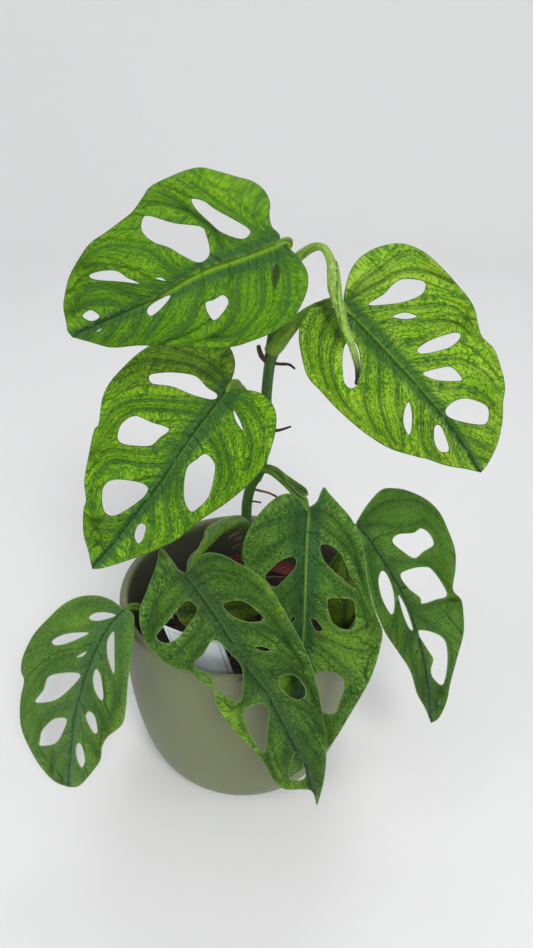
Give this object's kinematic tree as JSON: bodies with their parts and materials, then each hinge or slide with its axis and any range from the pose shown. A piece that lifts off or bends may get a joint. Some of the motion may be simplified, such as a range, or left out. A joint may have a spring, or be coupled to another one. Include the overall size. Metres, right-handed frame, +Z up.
{
  "type": "potted monstera adansonii plant",
  "caption": "Young climbing foliage plant with holed oval leaves on one upright stem, in a thin nursery pot with soil inside a rounded cover pot.",
  "frame": {"origin": "centre of the cover pot's underside, on the surface it stands on", "axes": "+Z up along the cover pot's axis, -Y towards the side the leaves face, +X to the right seen from that side"},
  "size_m": [0.2565, 0.1827, 0.3643],
  "materials": {
    "cover_pot": "satin",
    "nursery_pot": "satin",
    "soil": "matte",
    "plant_label": "satin",
    "stem": "satin",
    "young_leaf": "satin",
    "old_leaf": "satin",
    "new_leaf": "satin"
  },
  "bodies": {
    "root": {"cover_pot": "cover_pot", "nursery_pot": "nursery_pot", "soil": "soil", "plant_label": "plant_label", "stem": "stem", "leaf_top": "young_leaf", "leaf_right": "young_leaf", "leaf_left": "young_leaf", "leaf_over_rim": "old_leaf", "leaf_front": "old_leaf", "leaf_centre": "old_leaf", "leaf_outer": "old_leaf", "new_leaf": "new_leaf"}
  },
  "joints": []
}
